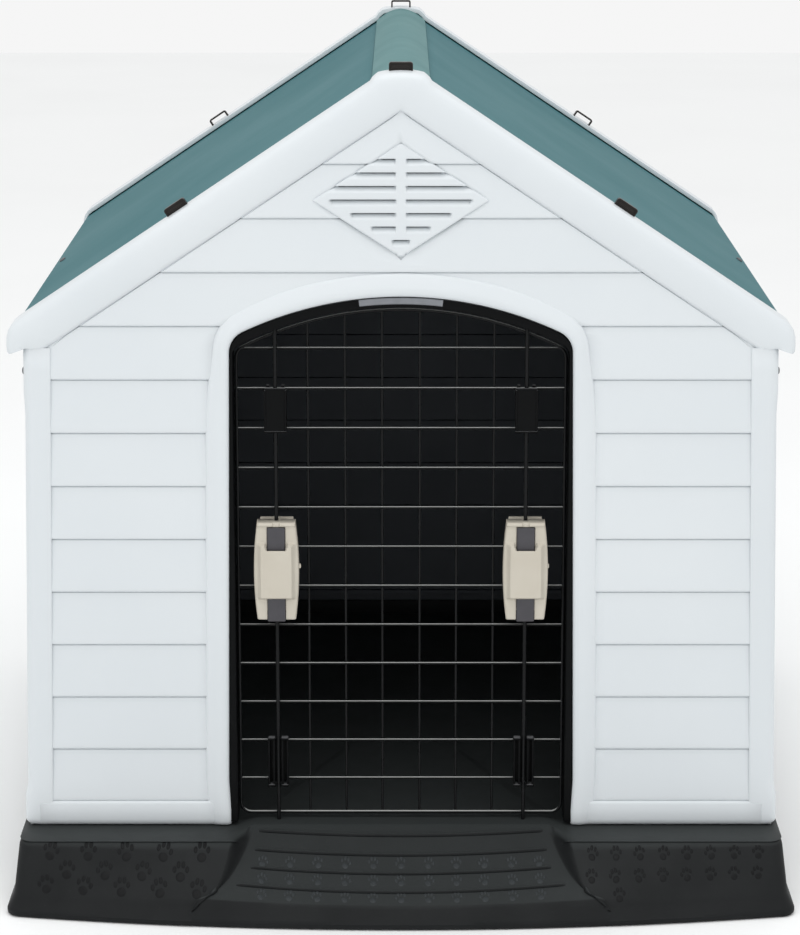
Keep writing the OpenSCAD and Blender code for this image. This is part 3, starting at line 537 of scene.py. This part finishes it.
def clip(x, y, lean, closed):
    """A staple of flat strap: up one leg, across and down the other, with rounded corners, carried along its depth.
    The front ones are closed by a web between the legs."""
    half, tall, leg, t, r = 14.0, 9.3, 16.0, 2.2, 3.0
    bend = np.radians(np.linspace(0, 90, 6))
    outer = np.concatenate([[[half, -leg]], np.stack([half - r + r * np.cos(bend), tall - r + r * np.sin(bend)], 1)])
    inner = np.concatenate([[[half - t, -leg]], np.stack([half - r + (r - t) * np.cos(bend),
                                                           tall - r + (r - t) * np.sin(bend)], 1)])
    outer, inner = [np.concatenate([g, g[::-1] * [-1, 1]]) for g in (outer, inner)]
    share, depth = np.array([0, 0, 0.2, 0.8, 1, 1, 0.8, 0.2, 0]), np.array([-3.5, 3.5, 4, 4, 3.5, -3.5, -4, -4, -3.5])
    parts = [capped(strip(outer, inner, np.stack([share, depth], 1)))]
    if closed:
        parts += [soft_box((-12.5, -2.6, -6), (12.5, 2.6, 8.2), 0.8),
                  soft_box((-9.5, -3.3, 2.2), (9.5, -2, 4.0), 0.6)]
    c, s = math.cos(math.radians(lean)), math.sin(math.radians(lean))
    foot = 992 if x == 0 else RAKE - SLOPE * abs(x)
    return [outward(stack(g[..., 0] * c + g[..., 2] * s + x, g[..., 1] + y, g[..., 2] * c - g[..., 0] * s + foot))
            for g in parts]


clips = sum([clip(x, y, lean, y < 0) for y in (FRONT + 35, BACK - 35)
             for x, lean in ((-261, -33.85), (0, 0), (261, 33.85))], [])
piece("roof_clip_staples", clips, clip_acetal, HOUSE, stands_for="roof_clips")

# ---------------------------------------------------------------- base tray

STEP_TOP, STEP_FOOT = -6.0, -113.0          # the step's back and front edge behind the front panel's face
LEDGE = -44.0                               # the ledge's front edge, likewise
BOW = 40.0                                  # how far the skirt's foot is further back at its ends
LEAN = 42.0                                 # how far the skirt comes forward from the ledge to its foot
RAMP_FROM, RAMP_RUN = 0.2, 0.56             # where the ramp starts down the front's section, and its share of it
RIB_SPREAD = 2.1 * RAMP_RUN / 99            # half a rib's width, as a share of the section
# how far down the front's section each row of points lies: 0 at the wall, 1 on the floor
PROFILE = np.array([0, 0.06, 0.12, 0.2, 0.26, 0.3, 0.33, 0.345, 0.36, 0.375, 0.39, 0.42, 0.46, 0.5, 0.54, 0.58, 0.62,
                    0.65, 0.68, 0.7, 0.72, 0.735, 0.75, 0.765, 0.78, 0.8, 0.82, 0.85, 0.9, 0.95, 0.985, 1.0])


def skirt(v, lean, heel):
    """Inset and height down the tray's side: a flat ledge with a rounded edge, a side that leans out by lean, and a
    hollow curve out to the foot. heel is the share of the lean that the curve takes up."""
    down = np.clip((v - 0.33) / 0.49, 0, 1)
    z = np.where(v < 0.82, FOOT - (FOOT - 7) * down, 7 * (1 - (v - 0.82) / 0.18))
    low = np.clip((24 - z) / 17, 0, 1)
    f = (1 - heel) * np.clip((z - 24) / (FOOT - 24), 0, 1) + heel * (1 - low ** 1.2)
    inset = lean * f + rounding(FOOT - z, 8.0) * 0.9 * (v > 0.33) + rounding(z, 3.0) * (v > 0.9)
    return inset, z - 1.2 * smooth((v - 0.26) / 0.07) * (v < 0.34), np.clip((0.33 - v) / 0.33, 0, 1)


def scoop_side(down):
    """Half width of the step: nearly straight at the wall, then flaring ever faster down to the lip, by the power 1.5
    of the way down and, near the lip, its eighth power."""
    return 190 + 32 * down ** 1.5 + 24 * down ** 8


def scoop_blend(down):
    """Half the breadth of the rounded wall between the ramp and the block beside it: it narrows towards the lip."""
    return 6 + 9 * (1 - down) ** 2


def down_ramp(v):
    """How far down the ramp a share of the front's section lies: 0 at the sill, 1 at the lip."""
    return np.clip((v - RAMP_FROM) / RAMP_RUN, 0, 1)


def tray_front(x, v):
    """The tray's front, from the ledge under the wall (v = 0) to the floor (v = 1). The skirt runs from the ledge's
    straight edge out to a foot that is bowed by the square of x. Between the step's flared sides it gives way, by a
    smooth step, to the scooped ramp and its lip."""
    inset, z, flat = skirt(v, LEAN, 0.2)
    half = BASE_HALF - 13
    bow = BOW * (x / half) ** 2
    edge = (BASE_FRONT - FRONT + bow) * (1 - inset / LEAN) + LEDGE * inset / LEAN
    y = edge + (8 - edge) * flat
    down = down_ramp(v)
    lip_z = 24 + 5.0 * (x / 244) ** 2
    ramp_y = np.where(v < RAMP_FROM, 8 + (STEP_TOP - 8) * v / RAMP_FROM, STEP_TOP + (STEP_FOOT - STEP_TOP) * down)
    ramp_z = SILL - 1.0 - (SILL - 1.0 - lip_z) * (down + 0.05 * np.sin(math.pi * down))
    ramp_y = ramp_y + bow * 0.9 * down
    lip = smooth((v - 0.76) / 0.045)
    y_low = np.maximum(y, BASE_FRONT - FRONT + bow + 1.0)
    ramp_y, ramp_z = ramp_y * (1 - lip) + y_low * lip, ramp_z * (1 - lip) + z * lip
    width = scoop_blend(down)
    inside = smooth((scoop_side(down) + width - np.abs(x)) / (2 * width))
    return stack(x, y + (ramp_y - y) * inside, z + (ramp_z - z) * inside)


def tray_loop():
    """The whole outside of the tray: the front, whose columns follow the step's flared sides, then round the sides
    and back with the same section."""
    v = PROFILE
    side, width = scoop_side(down_ramp(v)), scoop_blend(down_ramp(v))
    inset, _, flat = skirt(v, 11.0, 0.7)
    half = BASE_HALF - inset
    end = half * (1 - flat) + 440 * flat - 18
    middle = np.linspace(0, 1, 40)[:, None] * (side - width)
    slant = (side - width) + np.linspace(0, 1, 18)[1:, None] * 2 * width
    outer = (side + width) + np.linspace(0, 1, 40)[1:, None] * (end - side - width)
    x = np.concatenate([middle, slant, outer])
    x = np.concatenate([-x[:0:-1], x])
    front = tray_front(x, np.broadcast_to(v, x.shape))
    front[..., 1] += FRONT
    corner = 18.0
    bend = np.radians(np.linspace(0, 90, 9))[1:, None]
    y_end, x_end = front[-1, :, 1], front[-1, :, 0]
    z_end = front[-1, :, 2]
    right_corner = stack(x_end + corner * np.sin(bend), y_end + corner * (1 - np.cos(bend)), z_end)
    inner_half = x_end + corner
    back_y = (BASE_BACK - inset * 3.4) * (1 - flat) + (BACK - 8) * flat
    side_y = np.linspace(0, 1, 24)[1:-1, None]
    start = right_corner[-1, :, 1]
    run = stack(inner_half, start + (back_y - corner - start) * side_y, z_end)
    last = stack(inner_half - corner * (1 - np.cos(bend)), back_y - corner + corner * np.sin(bend), z_end)
    across = np.linspace(1, 0, 12)[1:, None]
    rear = stack((inner_half - corner) * across, back_y, z_end)
    right = np.concatenate([right_corner, run, last, rear])
    left = right[::-1][1:] * [-1, 1, 1]
    return np.concatenate([front, right, left, front[:1]])


def along_normal(x, v, lift):
    """Points on the tray's front, raised from it by lift millimetres."""
    d = 0.4
    here = tray_front(x, v)
    n = np.cross(tray_front(x + d, v) - here, tray_front(x, v + 0.003) - here)
    n /= np.linalg.norm(n, axis=-1, keepdims=True)
    n = np.where(n[..., 1:2] > 0, -n, n)
    return here + n * np.asarray(lift)[..., None] + [0, FRONT, 0]


def step_rib(middle, half):
    """A raised line across the ramp: a half-round section whose ends run back and sink in."""
    s = np.linspace(-1, 1, 61)[:, None]
    a = np.radians(np.linspace(-20, 200, 9))
    v = RAMP_FROM + RAMP_RUN * (middle - 0.055 * s ** 2)
    fall = 1 - smooth((np.abs(s) - 0.97) / 0.03)
    lift = 2.5 * np.sin(a) * fall - 0.4 * (1 - fall)
    v = v + RIB_SPREAD * np.cos(a)
    return outward(along_normal(np.broadcast_to(s * half, v.shape), v, lift), (0, -1, 1))


def paw(x0, v0, size, turn=0.0):
    """An embossed paw: a rounded pad and four toes, each a low dome over an ellipse on the skirt."""
    pads = ((0, -0.18, 0.34, 0.27), (-0.42, 0.2, 0.14, 0.19), (-0.16, 0.44, 0.14, 0.2), (0.16, 0.44, 0.14, 0.2),
            (0.42, 0.2, 0.14, 0.19))
    rho, a = np.linspace(0, 1, 5)[:, None], np.linspace(0, 2 * math.pi, 13)
    grids = []
    for px, py, rx, ry in pads:
        dx, dz = size * (px + rx * rho * np.cos(a)), size * (py + ry * rho * np.sin(a))
        dx, dz = dx * math.cos(turn) - dz * math.sin(turn), dx * math.sin(turn) + dz * math.cos(turn)
        lift = 0.5 * np.sqrt(np.clip(1 - rho ** 4, 0, 1)) - 0.15 * (rho >= 1)
        g = along_normal(x0 + dx, v0 - dz / 150, lift)
        g[:, -1] = g[:, 0]
        grids.append(outward(g, (0, -1, 0.3)))
    return grids


tray = tray_loop()
floor_edge = tray[:, :1]
middle = np.broadcast_to(np.array([0, 30, FOOT]), floor_edge.shape)
cabin_floor = np.concatenate([middle, middle + (floor_edge - middle) * 0.5, floor_edge], 1)
tray_grids = [outward(tray), outward(cabin_floor, (0, 0, 1))]
ribs = [step_rib(m, h) for m, h in ((0.12, 172), (0.35, 176), (0.58, 180), (0.82, 196))]
paws, step_paws = [], []
for row, (v0, start, count) in enumerate(((0.41, -418, 5), (0.53, -397, 4), (0.63, -421, 5))):
    for i in range(count):
        paws += paw(start + 45.2 * i, v0, 18, 0.25 * ((i + row) % 3 - 1))
for row, (v0, start) in enumerate(((0.415, 228), (0.55, 226))):
    for i in range(8):
        paws += paw(start + 28.3 * i, v0, 13, 0.3 * ((i + row) % 3 - 1))
paws += paw(258, 0.665, 13)
for m in (0.46, 0.68, 0.9):
    for i in range(11):
        step_paws += paw(-165 + 33 * i, RAMP_FROM + RAMP_RUN * m, 12, 0.3 * (i % 3 - 1))

piece("base_tray", tray_grids, base_plastic, HOUSE, stands_for="base", skin=4, sharp=40)
piece("base_step_ribs", ribs, base_plastic, HOUSE)
piece("base_paw_marks", paws, polished_base, HOUSE)
piece("step_paw_marks", step_paws, worn_base, HOUSE)

curb = []
for side in (-1, 1):
    curb.append(soft_box((side * 433 - 3, FRONT + 12, FOOT - 1), (side * 433 + 3, BACK - 12, SILL + 14), 1.5))
    curb.append(soft_box((min(side * 219, side * 436), FRONT + 9.5, FOOT - 1),
                         (max(side * 219, side * 436), FRONT + 15.5, SILL + 14), 1.5))
curb.append(soft_box((-436, BACK - 15.5, FOOT - 1), (436, BACK - 9.5, SILL + 14), 1.5))
piece("base_curb", curb, base_plastic, HOUSE)

stays = []
for i in range(-4, 5):
    foremost = FRONT + (10 if abs(i) < 3 else -32)
    stays.append(soft_box((i * 98 - 1, foremost, 0.5), (i * 98 + 1, BASE_BACK - 40, FOOT - 4.5), 0.4, 2))
for j in range(-4, 5):
    stays.append(soft_box((-BASE_HALF + 18, j * 98 - 1, 0.5), (BASE_HALF - 18, j * 98 + 1, FOOT - 4.5), 0.4, 2))
piece("base_underside_stays", stays, base_plastic, HOUSE)

# ---------------------------------------------------------------- door frame


def sleeve():
    """The black sleeve in the doorway: a rounded section carried round the outline from sill to sill."""
    outer = whole(door_line(grow=-0.5))
    inner = whole(door_line(foot=197, head=197, arch=417.6, corner=16))
    share = np.array([0, 0, 0.15, 0.8, 1, 1, 0.8, 0.15, 0])
    depth = np.array([31, 5, 3, 3, 4.5, 33, 34, 34, 31])
    grid = strip(outer, inner, np.stack([share, depth], 1))
    return outward(capped(grid) + [0, FRONT, 0])


piece("door_sleeve", [sleeve()], black_nylon, HOUSE, stands_for="door_frame", sharp=50)

arc = np.pi / 2 + np.linspace(0.115, -0.115, 24)
section = np.array([[-1, 5], [-1, 1.6], [-1.8, 0.8], [-7.6, 0.8], [-8.6, 1.8], [-8.6, 5], [-1, 5]])
r = ARCH_R + section[:, 0]
tab = stack(r * np.cos(arc)[:, None], section[:, 1] + FRONT, ARCH_Z + r * np.sin(arc)[:, None])
piece("door_sleeve_tab", [outward(capped(tab))], strip_abs, HOUSE, stands_for="frame_tab")

# ---------------------------------------------------------------- wire door

MESH_Y, BEHIND_Y, RIM_Y = FRONT + 20, FRONT + 22.7, FRONT + 20.4
RIM_X, RIM_FOOT = 194.0, 88.8
rim_arc = door_line(foot=RIM_X, head=RIM_X, arch=411.5, corner=16, start=RIM_FOOT + 12)[5:]
turn = np.radians(np.linspace(-90, 0, 8))
foot = np.stack([RIM_X - 12 + 12 * np.cos(turn), RIM_FOOT + 12 + 12 * np.sin(turn)], 1)
half_rim = np.concatenate([foot, rim_arc])
rim = whole(half_rim)


def rim_half_at(z):
    """Half width of the door's rim at a height."""
    return np.interp(z, half_rim[:, 1], half_rim[:, 0])


wires = [tube(stack(rim[:, 0], RIM_Y, rim[:, 1]), 2.0, 14, closed=True)]
for k in range(WIRES):
    z = WIRE_FOOT + WIRE_STEP * k
    reach = rim_half_at(z)
    wires.append(tube([[-reach, MESH_Y, z], [0, MESH_Y, z], [reach, MESH_Y, z]], 1.5))
arch_x, arch_z = half_rim[::-1, 0], half_rim[::-1, 1]
for x in (-110.0, -66.0, -22.3, 22.3, 66.0, 110.0):
    top = np.interp(abs(x), arch_x[:30], arch_z[:30])
    wires.append(tube([[x, BEHIND_Y, RIM_FOOT], [x, BEHIND_Y, 400], [x, BEHIND_Y, top]], 1.5))
piece("wire_door", wires, powder_coat, DOOR, stands_for="door_mesh", sharp=60)

# ---------------------------------------------------------------- latches


def barrel(z):
    """Half width of a latch housing: widest at its middle, and narrower by the square of the distance from it."""
    return 26.8 - 4.0 * (z / 60) ** 2


def housing():
    """A latch housing and the faces of it to keep: a face over a barrel outline, rounded at its edges, with a raised
    block in its middle and a lip at its top, each the product of smooth steps across and up the face; openings for
    the two finger tabs; and a wall that turns back all round."""
    foot, top = [-59.5, -59.4, -59.0, -58.2, -57, -55], [55.2, 55.8, 56.4, 57.2, 58.4, 59.8, 60.5, 60.8]
    under, over = [-37, -35.4, -34.2, -33.4, -32.4, -31.4, -30.4, -29.2, -28], [24, 26, 27.4, 28.4, 29.4, 30.6, 31.8]
    z = np.concatenate([foot, np.arange(-52, -38, 4), under, np.arange(-24, 24, 6), over, [33, 34.2, 35.4, 36.6],
                        np.arange(39, 54, 4), top])
    f = np.array([0, 0.02, 0.06, 0.12, 0.2, 0.3, 0.42, 0.54, 0.66, 0.78, 0.88, 0.95, 1])
    half = barrel(z)[:, None]
    wing = 11 + (half - 11) * (1 - f)
    core = np.broadcast_to(np.array([-9.6, -6.5, -4.6, -3.3, 0, 3.3, 4.6, 6.5, 9.6]), (len(z), 9))
    x = np.concatenate([-wing, core, wing[:, ::-1]], 1)
    zz = np.broadcast_to(z[:, None], x.shape)
    side = half - np.abs(x)
    top_of_block = 34.8 - 6.2 * smooth((13.8 - np.abs(x)) / 2.6)
    raised = (smooth((23.6 - np.abs(x)) / 6.4) * smooth((zz + 34.2) / 3.6) * smooth((top_of_block - zz) / 2.6 + 0.5))
    lip = smooth((zz - 55.4) / 1.4) * smooth((np.abs(x) - 3.6) / 1.0)
    y = 2.0 - 6.6 * raised - 2.0 * lip
    y = y + rounding(side, 3.2) + rounding(top[-1] - zz, 1.4) + rounding(zz - foot[0], 2.0)
    y = y + 0.3 * raised * (1 - (x / 20) ** 2)      # a shallow dish over the block
    face = stack(x, y, zz)
    wall = 18.0
    pad = np.pad(face, ((1, 1), (1, 1), (0, 0)), mode="edge")
    pad[0, :, 1] = pad[-1, :, 1] = wall
    pad[:, 0, 1] = pad[:, -1, 1] = wall
    centre = np.abs(pad[-1, :, 0]) < 3.4
    pad[-1, centre, 1] = 11.4
    rows = (pad[1:, 0, 2] + pad[:-1, 0, 2]) / 2
    cols = np.arange(pad.shape[1] - 1)
    middle = (cols >= len(f)) & (cols < len(f) + 10)
    open_rows = ((rows > 27.5) & (rows < 55.0)) | (rows < -33.4)
    keep = ~(open_rows[:, None] & middle[None, :])
    return pad, keep


def nub(x, z):
    """The small moulded stop on a housing's side, a rounded box."""
    return soft_box((x - 1.6, 6, z - 2.6), (x + 1.6, 11, z + 2.6), 1.2)


def moved(grids, dx, dy, dz):
    """The same grids, moved, each still with its faces to keep if it has them."""
    return [(g[0] + [dx, dy, dz], g[1]) if isinstance(g, tuple) else g + [dx, dy, dz] for g in grids]


def coil(z0, z1, turns=9):
    """A compression spring: a wire along a helix whose last turn at each end lies flat."""
    t = np.linspace(0, 1, turns * 14 + 1)
    a = 2 * math.pi * turns * t
    flat = 1.2 / turns
    rise = np.clip((t - flat) / (1 - 2 * flat), 0, 1)
    return tube(np.stack([4.0 * np.cos(a), 12.7 + 4.0 * np.sin(a), z0 + (z1 - z0) * rise], 1), 0.5, 6, side=(0, 0, 1))


def rod(z0, z1):
    """A latch rod: a straight round bar whose radius falls off over its bevelled ends."""
    z = np.array([z0, z0 + 1.6, (z0 + z1) / 2, z1 - 1.6, z1])
    return tube(np.stack([0 * z, ROD_Y + 0 * z, z], 1), np.array([1.3, ROD_R, ROD_R, ROD_R, 1.3]), 20)


def hook(x, z, y):
    """A clip that closes round a door wire: two lips and a back, each a small rounded bar."""
    bars = ((0, -4, -1.9), (0, 1.9, 4), (3.7, -4, 4))
    return [soft_box((x - 2, y + deep, z + low), (x + 2, y + 5.6, z + high), 0.5) for deep, low, high in bars]


for side, word in ((-1, "left"), (1, "right")):
    rod_x = side * ROD_X
    here = (rod_x, FRONT, LATCH_Z)
    pad, keep = housing()
    turned = outward(pad, (0, -1, 0))
    if turned is not pad:
        keep = keep[::-1]
    stop = nub(27.4 if side < 0 else 26.6, 5.8)
    piece(f"latch_housing_{word}", moved([(turned, keep), stop], *here), cream_abs, DOOR,
          stands_for=f"latch_cover_{word}", skin=1.9, sharp=38)
    for end, level in (("upper", 1), ("lower", -1)):
        lo, hi = (26.2, 54.6) if level > 0 else (-61.0, -31.2)
        pads = [soft_box((-10.5, -0.4, lo), (10.5, 4.2, hi), 1.3, 6),
                soft_box((-8, 4, min(level * 36, level * 54)), (8, 17.4, max(level * 36, level * 54)), 0.6)]
        body = f"{end}_bolt_{word}"
        piece(f"{end}_finger_tab_{word}", moved(pads, *here), grey_abs, body, stands_for=f"{end}_tab_{word}")
        z0, z1 = (LATCH_Z + 40.2, 705.0) if level > 0 else (72.0, LATCH_Z - 40.2)
        piece(f"{end}_latch_rod_{word}", moved([rod(z0, z1)], rod_x, FRONT, 0), powder_coat, body,
              stands_for=f"{end}_rod_{word}")
        wire = moved([coil(level * 2.6, level * 35.4)], *here)
        spring = piece(f"{end}_latch_spring_{word}", wire, spring_steel, DOOR, stands_for=f"{end}_spring_{word}",
                       sharp=60)
        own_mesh(spring)

    # upper guide: two dark cheeks beside the rod, held on two wires
    low, high = WIRE_FOOT + 9 * WIRE_STEP, WIRE_FOOT + 10 * WIRE_STEP
    cheeks = [soft_box((-12.3, 8.9, low - 1), (12.3, 11.6, high + 1.4), 0.9)]
    cheeks += [soft_box((s * 8.6 - 3.7, 10.8, low - 1), (s * 8.6 + 3.7, 18.3, high + 1.4), 0.8) for s in (-1, 1)]
    cheeks += [soft_box((s * 12.1 - 1.2, 8.0, low), (s * 12.1 + 1.2, 18.3, high), 0.8) for s in (-1, 1)]
    cheeks += [soft_box((-13.5, 7.8, low - 3.2), (13.5, 11.4, low - 0.8), 0.9),
               soft_box((-12.8, 8.4, high + 0.4), (12.8, 11.4, high + 2.2), 0.8)]
    cheeks += sum([hook(x, z, 18.0) for x in (-9, 9) for z in (low, high)], [])
    piece(f"upper_rod_guide_{word}", moved(cheeks, rod_x, FRONT, 0), black_nylon, DOOR,
          stands_for=f"upper_guide_{word}")

    # lower guide: a pair of thin ribs on each side of the rod, with rounded feet at both ends
    low, high = WIRE_FOOT, WIRE_FOOT + WIRE_STEP
    ribs = [soft_box((x - 1.3, 9.5, low - 5), (x + 1.3, 18.3, high + 4), 0.8) for x in (-11.2, -5.2, 5.2, 11.2)]
    ribs += [soft_box((s * 8 - 4.6, 8.2, z - 1.6), (s * 8 + 4.6, 18.3, z + 1.6), 1.5, 6)
             for s in (-1, 1) for z in (low - 6.2, high + 4.6)]
    ribs += [soft_box((-11, 16.8, low - 4), (11, 18.3, high + 3), 0.6)]
    ribs += sum([hook(x, z, 18.0) for x in (-8, 8) for z in (low, high)], [])
    piece(f"lower_rod_guide_{word}", moved(ribs, rod_x, FRONT, 0), black_nylon, DOOR,
          stands_for=f"lower_guide_{word}")

# ---------------------------------------------------------------- carried-over CAD pieces

for node, finish in (("wall_screws", zinc_plate), ("roof_screws", zinc_plate), ("latch_screws", zinc_plate),
                     ("latch_back_left", cream_abs), ("latch_back_right", cream_abs)):
    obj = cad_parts[node]
    obj.data.materials.clear()
    obj.data.materials.append(finish)

# ---------------------------------------------------------------- floor, lights, camera

across = np.linspace(-9000, 9000, 3)
floor_mesh = mesh_of("studio_floor", [outward(stack(across[:, None], across, -0.5), (0, 0, 1))])
floor_mesh.materials.append(floor_paint)
floor = bpy.data.objects.new("studio_floor", floor_mesh)
bpy.context.scene.collection.objects.link(floor)


def softbox(name, place, target, size, power):
    """A square area light that looks from place to target."""
    lamp = bpy.data.lights.new(name, "AREA")
    lamp.shape, lamp.size, lamp.energy = "SQUARE", size, power
    obj = bpy.data.objects.new(name, lamp)
    obj.location = place
    look = np.array(target, float) - np.array(place, float)
    yaw, pitch = math.atan2(look[1], look[0]), math.atan2(look[2], math.hypot(look[0], look[1]))
    obj.rotation_euler = (pitch + math.pi / 2, 0, yaw - math.pi / 2)
    bpy.context.scene.collection.objects.link(obj)


softbox("overhead_softbox", (0, -1.2, 3.4), (0, -0.1, 0.5), 2.4, 30)
softbox("left_front_softbox", (-2.8, -3.6, 2.2), (0, 0, 0.5), 2.0, 15)
softbox("right_front_softbox", (2.8, -3.6, 2.2), (0, 0, 0.5), 2.0, 10)

# an even pale surround, so the light has no hard side
world = bpy.data.worlds.new("studio")
world.use_nodes = True
world.node_tree.nodes["Background"].inputs["Color"].default_value = linear("ffffff")
world.node_tree.nodes["Background"].inputs["Strength"].default_value = 0.92
bpy.context.scene.world = world
bpy.context.scene.view_settings.view_transform = "Standard"

camera = bpy.data.cameras.new("camera")
camera.lens, camera.sensor_width = 107.8, 36
camera.shift_x, camera.shift_y = -0.001, -0.160
eye = bpy.data.objects.new("camera", camera)
eye.location = (0, FRONT * MM - 3.196, 1.361)
eye.rotation_euler = (math.radians(90 - 11.58), 0, 0)
bpy.context.scene.collection.objects.link(eye)
bpy.context.scene.camera = eye
